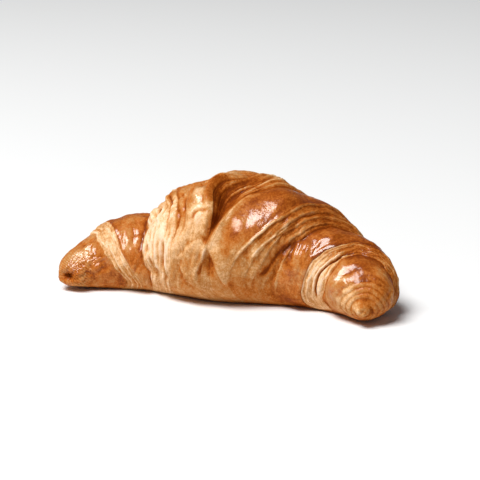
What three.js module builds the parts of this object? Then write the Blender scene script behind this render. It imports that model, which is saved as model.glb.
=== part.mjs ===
// A croissant: one crescent of rolled, laminated dough, baked. Millimetres, +Z up.
//
// The crust is one surface with two coordinates. "Place" runs along the roll, from -1 at the left
// end to 1 at the right end. "Angle" runs round it, in degrees: 0 at the front (-Y), 90 on top,
// 180 at the back and 270 underneath. The edges of the rolled-up dough cross it as steps, so the
// rows of the mesh follow those edges, and the relief is set from one edge to the next.
import * as THREE from "three";

// The roll's axis, as seen from above.
const ROLL_LENGTH = 183.5;
const LEFT_END = { turn: 1.5, bendPower: 2.6, poleHeight: 7.5, capPower: 7, rounding: 0.5 };
const RIGHT_END = { turn: 1.5, bendPower: 1.95, poleHeight: 7.5, capPower: 13, rounding: 1 };
const CAP_ROUNDNESS = 0.44;

// The roll's section. Its widest level is at a share of its height, and it is cut flat below.
// Towards the ends it gets rounder underneath.
const SECTION_PLACES = [-1, -0.74, -0.5, -0.27, -0.05, 0.2, 0.45, 0.7, 0.86, 1];
const SECTION_HALF_WIDTHS = [12, 17.5, 22.5, 31.5, 37, 32, 24.5, 18.5, 18.5, 18.5];
const SECTION_HEIGHTS = [18.5, 29, 36, 50.5, 56.5, 53, 42.5, 32, 29.5, 29.5];
const MIDDLE_SECTION = { widestLevel: 0.45, undersideDrop: 1.12, lowerSquareness: 2.7 };
const END_SECTION = { widestLevel: 0.54, undersideDrop: 1, lowerSquareness: 1.95 };
const UPPER_SQUARENESS = 2.15;
const ENDS_ROUND_BETWEEN = [0.55, 0.95];

// Where each dough edge lies along the roll, at these angles round it.
const EDGE_ANGLES = [-30, 0, 30, 60, 90, 150, 225];
const FULL_TURN = 360;
const EDGES = {
  leftOuterFoot: [-0.65, -0.745, -0.805, -0.8, -0.79, -0.82, -0.84],
  leftOuterLip: [-0.53, -0.62, -0.69, -0.7, -0.705, -0.74, -0.76],
  leftInnerFoot: [-0.43, -0.475, -0.5, -0.49, -0.475, -0.5, -0.54],
  leftInnerLip: [-0.27, -0.245, -0.24, -0.29, -0.345, -0.4, -0.45],
  crownLip: [-0.08, -0.06, -0.03, -0.073, 0.025, 0.08, 0.09],
  crownFoot: [0, -0.02, 0.035, 0.11, 0.24, 0.33, 0.34],
  middleLip: [0.08, 0.1, 0.25, 0.345, 0.39, 0.46, 0.49],
  middleFoot: [0.325, 0.385, 0.457, 0.512, 0.542, 0.63, 0.66],
  outerLip: [0.535, 0.567, 0.61, 0.672, 0.7, 0.79, 0.82],
  outerFoot: [0.71, 0.79, 0.807, 0.775, 0.79, 0.86, 0.89],
  endRing: [0.93, 0.958, 0.968, 0.965, 0.962, 0.957, 0.945],
};

// The crust between the edges, from left to right: where each stretch ends, how many mesh rows it
// has, and how high the relief stands at its end. A strip is the layered edge of the dough, seen
// as a few ridges between a lip and a foot. A skin is the smooth outside of a turn, a little full.
const STRETCHES = [
  { kind: "end", to: "leftOuterFoot", rows: 9, relief: -1 },
  { kind: "strip", to: "leftOuterLip", rows: 6, relief: 1, fullness: 0.4 },
  { kind: "skin", to: "leftInnerFoot", rows: 5, relief: -2.4, fullness: 0.8 },
  { kind: "strip", to: "leftInnerLip", rows: 6, relief: 1.4, fullness: 2 },
  { kind: "skin", to: "crownLip", rows: 8, relief: 1.6, fullness: 0.4 },
  { kind: "valley", to: "crownFoot", rows: 6, relief: -1.2 },
  { kind: "skin", to: "middleLip", rows: 6, relief: 1.4, fullness: 1 },
  { kind: "strip", to: "middleFoot", rows: 6, relief: -1.8, fullness: 0 },
  { kind: "skin", to: "outerLip", rows: 5, relief: 1.2, fullness: 0.8 },
  { kind: "strip", to: "outerFoot", rows: 6, relief: -1.2, fullness: 0 },
  { kind: "skin", to: "endRing", rows: 4, relief: 0.6, fullness: 0.7 },
  { kind: "end", to: null, rows: 8, relief: 0 },
];
const RIDGES_IN_STRIP = 2;
const RIDGE_HEIGHT = 0.55;

// The crown's right edge stands over a deep fold, which closes low on the front.
const VALLEY_DEPTH = 6;
const VALLEY_CENTRE_ANGLE = 62;
const VALLEY_REACH = 38;
const BACK_VALLEY_SHARE = 0.2;
const BACK_VALLEY_FROM = [90, 140];
const VALLEY_LEAN = 0.8;
const CROWN_EDGE_FADE = [5, 40];
const CROWN_EDGES = ["crownLip", "crownFoot"];
const END_ROW_POWER = 2;
const END_RELIEF_FROM = 0.2;

// A ridge runs down the crown's left half, from its top to the front.
const CROWN_RIDGE = { place: -0.13, width: 0.035, height: 1.2, lowAngle: 20, highAngle: 90 };
const CROWN_RIDGE_FADE = 30;

// The rolled tips: a small thumb of dough at the right end and a sunk swirl at the left end.
const RIGHT_THUMB = { height: 3, radius: 3.6 };
const LEFT_SWIRL = { height: -2.4, radius: 3.2 };
const TIP_SQUARENESS = 4;

// The relief fades out towards the flat underside, between these shares of the height.
const FLAT_FADE = [0.02, 0.2];

// Mesh columns: close together on the crust that shows, wider apart underneath.
const SHOWN_ANGLES = { from: -45, to: 225, columns: 54 };
const UNDERSIDE_COLUMNS = 10;

const CRUST = { color: 0xb8692a, roughness: 0.42, metalness: 0 };
const AXIS_STEPS = 800;

// The steps along and round the roll over which the crust's slope is taken. The first gets smaller
// towards the poles by this share.
const SLOPE_STEP = 0.002;
const SLOPE_STEP_LOSS = 0.9;
const SLOPE_ANGLE = 1;

const mix = (a, b, share) => a + (b - a) * share;

function smoothStep(low, high, value) {
  const share = Math.min(Math.max((value - low) / (high - low), 0), 1);
  return share * share * (3 - 2 * share);
}

// A smooth curve through the given values: a cubic between each two, with slopes from neighbours.
function smoothCurve(places, values) {
  const last = places.length - 1;
  const slope = (i) => {
    const before = Math.max(i - 1, 0);
    const after = Math.min(i + 1, last);
    return (values[after] - values[before]) / (places[after] - places[before]);
  };
  return (place) => {
    let i = 0;
    while (i < last - 1 && place > places[i + 1]) i += 1;
    const span = places[i + 1] - places[i];
    const t = Math.min(Math.max((place - places[i]) / span, 0), 1);
    const start = values[i] * (1 + 2 * t) * (1 - t) ** 2 + slope(i) * span * t * (1 - t) ** 2;
    const end = values[i + 1] * t * t * (3 - 2 * t) - slope(i + 1) * span * t * t * (1 - t);
    return start + end;
  };
}

// A smooth curve round the roll: the values are carried on past both ends by one turn.
function turnCurve(values) {
  const before = EDGE_ANGLES.map((angle) => angle - FULL_TURN);
  const after = EDGE_ANGLES.map((angle) => angle + FULL_TURN);
  return smoothCurve([...before, ...EDGE_ANGLES, ...after], [...values, ...values, ...values]);
}

const endAt = (place) => (place < 0 ? LEFT_END : RIGHT_END);

// The axis heading turns towards the front as a power of the place, from straight at the middle.
function heading(place) {
  const end = endAt(place);
  return -Math.sign(place) * end.turn * Math.abs(place) ** end.bendPower;
}

// The axis as points, with both ends brought onto one line along X.
function makeAxis() {
  const places = [];
  const xs = [0];
  const ys = [0];
  const step = ROLL_LENGTH / AXIS_STEPS;
  for (let i = 0; i <= AXIS_STEPS; i += 1) places.push(-1 + (2 * i) / AXIS_STEPS);
  for (let i = 1; i <= AXIS_STEPS; i += 1) {
    const middle = heading((places[i - 1] + places[i]) / 2);
    xs.push(xs[i - 1] + Math.cos(middle) * step);
    ys.push(ys[i - 1] + Math.sin(middle) * step);
  }
  const chordSlope = ys[AXIS_STEPS] / xs[AXIS_STEPS];
  return xs.map((x, i) => [x, ys[i] - x * chordSlope]);
}

const axis = makeAxis();

function axisPoint(place) {
  const along = ((place + 1) / 2) * AXIS_STEPS;
  const i = Math.min(Math.max(Math.floor(along), 0), AXIS_STEPS - 1);
  return [0, 1].map((k) => mix(axis[i][k], axis[i + 1][k], along - i));
}

const halfWidthAt = smoothCurve(SECTION_PLACES, SECTION_HALF_WIDTHS);
const heightAt = smoothCurve(SECTION_PLACES, SECTION_HEIGHTS);

// How much of the full section is left at a place: 1 along the roll, 0 at its two poles.
function capShare(place) {
  return Math.max(1 - Math.abs(place) ** endAt(place).capPower, 0) ** CAP_ROUNDNESS;
}

function sectionAt(place) {
  const share = smoothStep(...ENDS_ROUND_BETWEEN, Math.abs(place)) * endAt(place).rounding;
  const section = {};
  for (const key of Object.keys(MIDDLE_SECTION)) {
    section[key] = mix(MIDDLE_SECTION[key], END_SECTION[key], share);
  }
  return section;
}

// The crust without relief: a squared ellipse across the roll, cut flat where it meets the table.
function basePoint(place, angle) {
  const cap = capShare(place);
  const { widestLevel, undersideDrop, lowerSquareness } = sectionAt(place);
  const halfWidth = halfWidthAt(place) * cap;
  const height = heightAt(place) * cap;
  const level = height * widestLevel;
  const across = Math.cos(THREE.MathUtils.degToRad(angle));
  const up = Math.sin(THREE.MathUtils.degToRad(angle));
  const squareness = up >= 0 ? UPPER_SQUARENESS : lowerSquareness;
  const reach = up >= 0 ? height - level : level * undersideDrop;
  let radius = 0;
  if (cap > 0) {
    const sum = Math.abs(across / halfWidth) ** squareness + Math.abs(up / reach) ** squareness;
    radius = sum ** (-1 / squareness);
  }
  const [x, y] = axisPoint(place);
  const turn = heading(place);
  const sideways = -radius * across;
  const centreHeight = level + endAt(place).poleHeight * (1 - cap);
  return new THREE.Vector3(
    x - Math.sin(turn) * sideways,
    y + Math.cos(turn) * sideways,
    Math.max(centreHeight + radius * up, 0),
  );
}

// The outward direction of the crust without relief.
function outward(place, angle) {
  const step = SLOPE_STEP * (1 - Math.abs(place) * SLOPE_STEP_LOSS);
  const along = basePoint(place + step, angle).sub(basePoint(place - step, angle));
  const round = basePoint(place, angle + SLOPE_ANGLE).sub(basePoint(place, angle - SLOPE_ANGLE));
  return along.cross(round).normalize();
}

function edgeRelief(stretch, angle) {
  const fades = CROWN_EDGES.includes(stretch.to);
  return stretch.relief * (fades ? smoothStep(...CROWN_EDGE_FADE, angle) : 1);
}

// The relief of one stretch at a share of the way from its start to its end.
function stretchRelief(stretch, start, share, angle) {
  const end = edgeRelief(stretch, angle);
  if (stretch.kind === "end") {
    const fromPole = start === null ? share : 1 - share;
    return mix(0, start === null ? end : start, smoothStep(END_RELIEF_FROM, 1, fromPole));
  }
  if (stretch.kind === "strip") {
    const ridges = RIDGE_HEIGHT * Math.sin(2 * Math.PI * RIDGES_IN_STRIP * share);
    return mix(start, end, share) + ridges + stretch.fullness * Math.sin(Math.PI * share);
  }
  if (stretch.kind === "valley") {
    const front = Math.exp(-(((angle - VALLEY_CENTRE_ANGLE) / VALLEY_REACH) ** 2));
    const back = BACK_VALLEY_SHARE * smoothStep(...BACK_VALLEY_FROM, angle);
    const depth = VALLEY_DEPTH * Math.max(front, back);
    return mix(start, end, share) - depth * Math.sin(Math.PI * share ** VALLEY_LEAN) ** 2;
  }
  // A skin leaves a foot steeply and reaches a lip gently.
  const rising = end >= start ? 1 - (1 - share) ** 2 : share ** 2;
  return mix(start, end, rising) + stretch.fullness * Math.sin(Math.PI * share);
}

function crownRidge(place, angle) {
  const { place: middle, width, height, lowAngle, highAngle } = CROWN_RIDGE;
  const above = smoothStep(lowAngle, lowAngle + CROWN_RIDGE_FADE, angle);
  const below = 1 - smoothStep(highAngle, highAngle + CROWN_RIDGE_FADE, angle);
  return height * above * below * Math.exp(-(((place - middle) / width) ** 2));
}

// What the rolled tips add, measured by the distance from their pole.
function tipRelief(place) {
  const tip = place < 0 ? LEFT_SWIRL : RIGHT_THUMB;
  const distance = halfWidthAt(place) * capShare(place);
  return tip.height * Math.exp(-((distance / tip.radius) ** TIP_SQUARENESS));
}

function crustPoint(place, angle, relief) {
  const point = basePoint(place, angle);
  const fade = smoothStep(FLAT_FADE[0], FLAT_FADE[1], point.z / heightAt(place));
  const height = fade * (relief + crownRidge(place, angle)) + tipRelief(place);
  point.addScaledVector(outward(place, angle), height);
  point.z = Math.max(point.z, 0);
  return point;
}

// The angles of the mesh columns.
function columnAngles() {
  const { from, to, columns } = SHOWN_ANGLES;
  const angles = [];
  for (let i = 0; i < columns; i += 1) angles.push(mix(from, to, i / columns));
  for (let i = 0; i < UNDERSIDE_COLUMNS; i += 1) {
    angles.push(mix(to, from + FULL_TURN, i / UNDERSIDE_COLUMNS));
  }
  return angles;
}

// One column of crust points, from just inside the left pole to just inside the right pole.
function crustColumn(angle, edgeCurves) {
  const points = [];
  let start = -1;
  let startRelief = null;
  for (const stretch of STRETCHES) {
    const end = stretch.to ? edgeCurves[stretch.to](angle) : 1;
    const atRightEnd = stretch.to === null;
    const rows = atRightEnd ? stretch.rows - 1 : stretch.rows;
    for (let row = 1; row <= rows; row += 1) {
      const share = row / stretch.rows;
      let place = mix(start, end, share);
      if (startRelief === null) place = mix(-1, end, share ** END_ROW_POWER);
      if (atRightEnd) place = mix(1, start, (1 - share) ** END_ROW_POWER);
      points.push(crustPoint(place, angle, stretchRelief(stretch, startRelief, share, angle)));
    }
    start = end;
    startRelief = edgeRelief(stretch, angle);
  }
  return points;
}

// A pole is moved along the roll's own direction by the relief of its tip.
function polePoint(place) {
  const point = basePoint(place, 0);
  const turn = heading(place);
  const relief = tipRelief(place) * Math.sign(place);
  return point.add(new THREE.Vector3(Math.cos(turn) * relief, Math.sin(turn) * relief, 0));
}

function crustGeometry() {
  const edgeCurves = {};
  for (const [name, places] of Object.entries(EDGES)) edgeCurves[name] = turnCurve(places);
  const columns = columnAngles().map((angle) => crustColumn(angle, edgeCurves));
  const rows = columns[0].length;
  const positions = [...columns.flat(), polePoint(-1), polePoint(1)];
  const leftPole = columns.length * rows;
  const rightPole = leftPole + 1;
  const triangles = [];
  columns.forEach((column, i) => {
    const here = i * rows;
    const next = ((i + 1) % columns.length) * rows;
    triangles.push(leftPole, here, next);
    for (let row = 0; row + 1 < rows; row += 1) {
      triangles.push(here + row, here + row + 1, next + row);
      triangles.push(next + row, here + row + 1, next + row + 1);
    }
    triangles.push(rightPole, next + rows - 1, here + rows - 1);
  });
  const geometry = new THREE.BufferGeometry().setFromPoints(positions);
  geometry.setIndex(triangles);
  geometry.computeBoundingBox();
  const { min, max } = geometry.boundingBox;
  geometry.translate(-(min.x + max.x) / 2, -(min.y + max.y) / 2, -min.z);
  geometry.computeVertexNormals();
  return geometry;
}

const croissant = new THREE.Mesh(crustGeometry(), new THREE.MeshStandardMaterial(CRUST));
croissant.name = "croissant";

const model = new THREE.Group();
model.add(croissant);

export default model;
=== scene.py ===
"""A baked croissant on a pale floor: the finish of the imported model's one node.

The crust is one surface with two coordinates, as in the model's source. Place runs along the roll,
from -1 at the left end to 1 at the right end. Angle runs round it in degrees: 0 at the front (-Y),
90 on top, 180 at the back and 270 underneath. Lengths inside the shape functions are millimetres.
"""
import math
from typing import NamedTuple

import bpy
import numpy as np
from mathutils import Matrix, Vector


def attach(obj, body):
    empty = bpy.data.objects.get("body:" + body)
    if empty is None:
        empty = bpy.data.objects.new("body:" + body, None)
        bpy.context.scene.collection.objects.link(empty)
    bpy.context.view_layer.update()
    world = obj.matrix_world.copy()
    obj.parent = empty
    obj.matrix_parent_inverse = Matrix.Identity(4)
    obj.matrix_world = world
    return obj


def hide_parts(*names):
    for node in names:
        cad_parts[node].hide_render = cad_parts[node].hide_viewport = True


bl_info = {
    "name": "Croissant",
    "version": (1, 0, 0),
    "blender": (4, 5, 0),
    "location": "3D View > Sidebar > Croissant",
    "description": "Makes the crust of a baked croissant and the studio that it is seen in",
    "category": "Add Mesh",
}

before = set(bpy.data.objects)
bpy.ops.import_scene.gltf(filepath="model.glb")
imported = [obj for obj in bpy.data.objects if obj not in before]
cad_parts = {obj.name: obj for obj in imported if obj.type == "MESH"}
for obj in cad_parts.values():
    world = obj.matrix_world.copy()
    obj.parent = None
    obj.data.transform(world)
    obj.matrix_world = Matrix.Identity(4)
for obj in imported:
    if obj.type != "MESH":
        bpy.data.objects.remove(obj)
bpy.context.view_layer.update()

MM = 0.001
CM = 0.01
FULL_TURN = 360


# The form of the roll, the same as in the model's source

class RollEnd(NamedTuple):
    """How one end of the roll turns to the front and closes at its pole."""

    turn: float
    bend_power: float
    pole_height: float
    cap_power: float
    rounding: float


class Section(NamedTuple):
    """The roll's section: its widest level, how far it is cut by the table, its squareness below."""

    widest_level: float
    underside_drop: float
    lower_squareness: float


LEFT_END = RollEnd(turn=1.5, bend_power=2.6, pole_height=7.5, cap_power=7, rounding=0.5)
RIGHT_END = RollEnd(turn=1.5, bend_power=1.95, pole_height=7.5, cap_power=13, rounding=1)
CAP_ROUNDNESS = 0.44
SECTION_PLACES = (-1, -0.74, -0.5, -0.27, -0.05, 0.2, 0.45, 0.7, 0.86, 1)
SECTION_HALF_WIDTHS = (12, 17.5, 22.5, 31.5, 37, 32, 24.5, 18.5, 17.8, 16)
SECTION_HEIGHTS = (18.5, 29, 36, 50.5, 56.5, 53, 42.5, 32, 29.5, 28)
MIDDLE_SECTION = Section(widest_level=0.45, underside_drop=1.12, lower_squareness=2.7)
END_SECTION = Section(widest_level=0.54, underside_drop=1, lower_squareness=1.95)
UPPER_SQUARENESS = 2.15
ENDS_ROUND_BETWEEN = (0.55, 0.95)
AXIS_STEPS = 800
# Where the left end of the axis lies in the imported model's frame, in metres
AXIS_START = (-0.0784, -0.0359)
TINY = 1e-6

# Where each dough edge lies along the roll, at these angles round it
EDGE_ANGLES = (-30, 0, 30, 60, 90, 150, 225)
EDGES = {
    "left_outer_foot": (-0.645, -0.753, -0.798, -0.804, -0.79, -0.79, -0.81),
    "left_outer_lip": (-0.5, -0.598, -0.675, -0.697, -0.7, -0.74, -0.76),
    "left_inner_foot": (-0.45, -0.508, -0.532, -0.52, -0.495, -0.5, -0.54),
    "left_inner_lip": (-0.27, -0.245, -0.24, -0.29, -0.345, -0.4, -0.45),
    "crown_lip": (-0.08, -0.06, -0.03, -0.073, 0.025, 0.08, 0.09),
    "crown_foot": (0, -0.02, 0.035, 0.11, 0.24, 0.33, 0.34),
    "middle_lip": (0.08, 0.1, 0.25, 0.345, 0.39, 0.46, 0.49),
    "middle_foot": (0.325, 0.385, 0.457, 0.512, 0.542, 0.63, 0.66),
    "outer_lip": (0.535, 0.567, 0.61, 0.672, 0.7, 0.79, 0.82),
    "outer_foot": (0.71, 0.79, 0.807, 0.775, 0.79, 0.86, 0.89),
    "end_ring": (0.93, 0.958, 0.968, 0.965, 0.962, 0.957, 0.945),
}


class Stretch(NamedTuple):
    """The crust from the dough edge before it up to the edge named by to.

    kind is end for a tip, skin for a smooth turn, strip for the ends of the layers and valley for a
    deep fold with layers in it. rows is how many mesh rows it has. relief is the height at its end,
    fullness its swell between, and ease how early or late the height changes. steps are the shares
    of its breadth, counted from its lip, where a layer of dough ends. layers is how high those ends
    stand, and low_layers how much of that is left low on the front. lumps is the height of broad
    bumps, crumple that of small ones and wrinkles that of the wrinkles round the roll. rim is the
    rounded edge of a skin at its lip. toast and glaze hold how baked and how glossy it is at the
    angles in BAKE_ANGLES. Low on the front by the floor and in the crown fold, the toast is partly
    painted shade.
    """

    name: str
    kind: str
    to: str
    rows: int
    relief: float
    fullness: float
    toast: tuple
    glaze: tuple
    steps: tuple = ()
    layers: float = 0
    low_layers: float = 1
    lumps: float = 1
    crumple: float = 0
    wrinkles: float = 0.3
    rim: float = 0
    ease: float = 2


# The toast at -25 degrees, low on the front by the floor, is partly painted shade of the floor contact
BAKE_ANGLES = (-25, 10, 35, 80, 170)
STRETCHES = (
    Stretch("left tip", "end", "left_outer_foot", 40, -1, 0,
            toast=(0.66, 0.66, 0.6, 0.52, 0.7), glaze=(0.1, 0.35, 1, 0.8, 0.25),
            crumple=0.6, wrinkles=0.5),
    Stretch("left outer strip", "strip", "left_outer_lip", 28, 1, 0.4,
            toast=(0.54, 0.34, 0.26, 0.32, 0.4), glaze=(0, 0.05, 0.1, 0.1, 0.1),
            steps=(0.14, 0.27, 0.6, 0.86), layers=0.4, crumple=0.25),
    Stretch("left turn", "skin", "left_inner_foot", 32, -2.4, 0.8,
            toast=(0.58, 0.64, 0.62, 0.66, 0.72), glaze=(0.1, 0.5, 1, 0.55, 0.2),
            wrinkles=1.1, rim=0.3),
    Stretch("left inner strip", "strip", "left_inner_lip", 46, 1.4, 2,
            toast=(0.42, 0.19, 0.18, 0.32, 0.42), glaze=(0, 0.15, 0.2, 0.2, 0.1),
            steps=(0.14, 0.44, 0.8), layers=0.24, crumple=1),
    Stretch("crown", "skin", "crown_lip", 42, 1.0, 0.4,
            toast=(0.5, 0.39, 0.28, 0.44, 0.62), glaze=(0, 0.05, 0.35, 0.15, 0.2),
            crumple=0.8, rim=1.5),
    # The fold's high toast from 35 to 80 degrees is partly painted shade, the dark of the shadowed valley
    Stretch("crown fold", "valley", "crown_foot", 30, -1.6, 0,
            toast=(0.5, 0.41, 0.78, 0.8, 0.66), glaze=(0, 0, 0.05, 0.15, 0.1),
            steps=(0.14, 0.3, 0.44, 0.58, 0.72, 0.86), layers=1.1),
    Stretch("middle turn", "skin", "middle_lip", 34, 1.8, 0.6,
            toast=(0.48, 0.36, 0.72, 0.84, 0.76), glaze=(0, 0.05, 1, 0.6, 0.2),
            lumps=0.08, wrinkles=0.16, ease=1.2),
    Stretch("middle strip", "strip", "middle_foot", 44, -1.8, 0.3,
            toast=(0.58, 0.41, 0.64, 0.78, 0.66), glaze=(0, 0, 0.1, 0.15, 0.1),
            steps=(0.07, 0.38, 0.56, 0.84), layers=0.38, low_layers=0.1, crumple=0.3),
    Stretch("outer turn", "skin", "outer_lip", 30, 1.2, 0.8,
            toast=(0.62, 0.53, 0.72, 0.84, 0.78), glaze=(0.05, 0.45, 1, 0.6, 0.2),
            wrinkles=1.1, rim=0.4),
    Stretch("outer strip", "strip", "outer_foot", 34, -1.2, 0,
            toast=(0.33, 0.22, 0.37, 0.78, 0.68), glaze=(0, 0.05, 0.15, 0.2, 0.1),
            steps=(0.1, 0.22, 0.36, 0.52, 0.72, 0.88), layers=0.45, crumple=0.25),
    Stretch("end turn", "skin", "end_ring", 14, -0.5, 0.6,
            toast=(0.56, 0.55, 0.6, 0.8, 0.7), glaze=(0.1, 0.5, 1, 0.5, 0.2), wrinkles=0.7),
    Stretch("right tip", "end", "", 30, 0, 0,
            toast=(0.6, 0.5, 0.54, 0.78, 0.66), glaze=(0.05, 0.1, 0.25, 0.2, 0.1), wrinkles=0.4),
)
# Skins whose first edge is a lip as well
STARTS_AT_LIP = ("left turn", "crown")
# Rows crowd towards a pole by this power, and a tip is level over this share of its length
END_ROW_POWER = 2
END_RELIEF_FROM = 0.2
# The angles between which an edge rises, going up the front
EDGE_FADES = {"crown_lip": (16, 45), "crown_foot": (16, 45), "middle_lip": (-24, -8)}
# The valley beside the crown: its depth in millimetres and where it is deep, in degrees
VALLEY_DEPTH = 6
VALLEY_CENTRE_ANGLE = 50
VALLEY_REACH = 27
VALLEY_FROM = (8, 30)
VALLEY_LEAN = 0.8
BACK_VALLEY_SHARE = 0.2
BACK_VALLEY_FROM = (90, 140)
# The angles between which the layers rise, going up the front
VALLEY_LAYERS_FROM = (48, 75)
STRIP_LAYERS_FROM = (-10, 30)
# The shares of the height between which the relief rises from the flat underside
FLAT_FADE = (0.02, 0.2)
# How far apart the points lie that give the outward direction
SLOPE_STEP = 0.002
SLOPE_STEP_LOSS = 0.9
SLOPE_ANGLE = 1
# The thumb of dough at the right pole and the swirl sunk into the left one
TIP_SQUARENESS = 4
THUMB_HEIGHT = 3
THUMB_RADIUS = 3.4
SWIRL_DEPTH = 3.6
SWIRL_RADIUS = 3.8

# Mesh columns: close together on the crust that shows, wider apart underneath
SHOWN_FROM = -45
SHOWN_TO = 225
SHOWN_COLUMNS = 212
UNDERSIDE_COLUMNS = 36


class Stroke(NamedTuple):
    """A crease, ridge or fold drawn on the crust through (place, angle) points.

    height is positive for a ridge and negative for a groove, width is half its breadth, toast is
    what it adds to the bake; on some grooves and the crack part of it is painted shade, and on the
    facet ridges painted light. one_sided makes a fold: steep on one side, sloping on the other, with
    1 or -1 for the side that slopes.
    """

    name: str
    height: float
    width: float
    toast: float
    one_sided: int
    points: tuple


STROKES = (
    # The two facet ridges' paler toast is partly painted light on their crests
    Stroke("left facet ridge", 1.5, 2.2, -0.16, -1,
           ((-0.042, 9), (-0.055, 1), (-0.085, -8), (-0.1, -17))),
    Stroke("right facet ridge", 1.4, 2.2, -0.12, 1,
           ((-0.032, 9), (-0.004, 1), (0.022, -7), (0.045, -15), (0.07, -22))),
    Stroke("left facet edge", 0.4, 1.2, -0.06, 1,
           ((-0.16, 6), (-0.2, -2), (-0.17, -12), (-0.1, -24))),
    Stroke("low front crease", -0.4, 1.2, 0.05, 0,
           ((-0.2, -14), (-0.175, -18), (-0.113, -25), (-0.063, -33))),
    Stroke("crown heel", 0.7, 3, -0.06, 1,
           ((-0.054, 13), (-0.117, 9), (-0.19, -3))),
    # The crown wrinkle's toast is partly painted shadow under its small overhang
    Stroke("crown wrinkle", -0.9, 0.9, 0.2, 0,
           ((-0.128, 27), (-0.13, 31), (-0.112, 34), (-0.08, 35), (-0.03, 34))),
    Stroke("crown lip crust", 0, 3.2, 0.4, 0,
           ((-0.06, 38), (-0.075, 48), (-0.09, 58), (-0.08, 68), (-0.05, 80))),
    Stroke("crown ridge", 2.2, 4.5, -0.08, 0,
           ((-0.23, 84), (-0.195, 68), (-0.16, 54), (-0.14, 40))),
    Stroke("strip fold one", -0.7, 0.8, 0.3, 0,
           ((-0.43, 80), (-0.408, 58), (-0.4, 50))),
    Stroke("second streak", -0.5, 0.8, 0.16, 0,
           ((-0.37, 90), (-0.335, 66), (-0.313, 52), (-0.277, 28), (-0.258, 10))),
    Stroke("strip fold low", -0.9, 1.1, 0.25, 0,
           ((-0.425, 8), (-0.412, -6), (-0.395, -18))),
    Stroke("dark streak", -0.6, 0.8, 0.12, 0,
           ((-0.31, 78), (-0.285, 62), (-0.256, 47), (-0.222, 32), (-0.229, 19), (-0.243, 8))),
    Stroke("crown fold line", -0.5, 0.8, 0.12, 0,
           ((-0.27, 66), (-0.25, 57), (-0.21, 44), (-0.185, 35))),
    Stroke("golden streaks", 0, 5, 0.15, 0,
           ((-0.37, 82), (-0.325, 64), (-0.287, 48), (-0.258, 30), (-0.26, 14))),
    Stroke("shoulder step", 1.6, 4, 0.05, -1,
           ((-0.352, 58), (-0.362, 72), (-0.37, 86), (-0.377, 100), (-0.39, 120))),
    Stroke("fold rim", 0.9, 2.1, -0.3, 0,
           ((-0.03, 4), (-0.008, 13), (0.03, 28), (0.08, 46), (0.12, 58), (0.175, 70))),
    Stroke("orange streak", 0, 2.6, 0.26, 0,
           ((0.115, 24), (0.088, 17), (0.066, 9), (0.054, 1))),
    # The low end of the fold's toast is partly painted shade, carrying the fold's dark down
    Stroke("low end of the fold", -1.2, 1.9, 0.36, 0,
           ((-0.016, 38), (-0.02, 29), (-0.028, 22), (-0.046, 15), (-0.058, 9))),
    Stroke("shoulder notch", -1.6, 3.4, 0.12, 0,
           ((-0.135, 52), (-0.15, 62), (-0.18, 76), (-0.21, 88), (-0.24, 102), (-0.27, 120))),
    Stroke("middle strip lip", 0.2, 0.6, -0.24, 0,
           ((0.087, -9), (0.13, 6), (0.166, 13), (0.232, 25), (0.308, 46), (0.38, 74))),
    Stroke("second layer", 0.5, 0.8, -0.24, 1,
           ((0.2, 1), (0.238, 11), (0.302, 24), (0.362, 37), (0.416, 59))),
    Stroke("orange crease", -0.6, 1.2, 0.14, 0,
           ((0.239, -15), (0.32, -2), (0.393, 20), (0.472, 41))),
    Stroke("dry gully", -0.7, 2.2, 0.2, 0,
           ((0.445, 34), (0.372, 15), (0.325, 2), (0.225, -18))),
    Stroke("foot flake", 0.8, 0.7, -0.28, 1,
           ((0.45, 28), (0.429, 20), (0.392, 3), (0.355, -16), (0.34, -28))),
    # The open crack's toast is painted shadow inside the crack
    Stroke("open crack", -1.8, 0.5, 0.6, 0,
           ((0.758, 84), (0.752, 60), (0.745, 39), (0.692, 13), (0.666, -8), (0.657, -30))),
    Stroke("crack lip", 0.6, 1.4, -0.2, 1,
           ((0.742, 76), (0.738, 56), (0.728, 39), (0.676, 13), (0.65, -8), (0.64, -28))),
)
STROKE_SAMPLES = 40
# A stroke tapers over this share of its length, and a fold's steep side has this share of its width
STROKE_TAPER = 0.2
STEEP_SHARE = 0.3


class Spot(NamedTuple):
    """A patch, in place and angle, that is browner, paler, glossier or higher than the crust around it.

    Some patches are painted shade, and two are painted highlights, as marked in SPOTS.
    """

    name: str
    place: float
    angle: float
    place_reach: float
    angle_reach: float
    toast: float
    glaze: float
    height: float = 0


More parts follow.
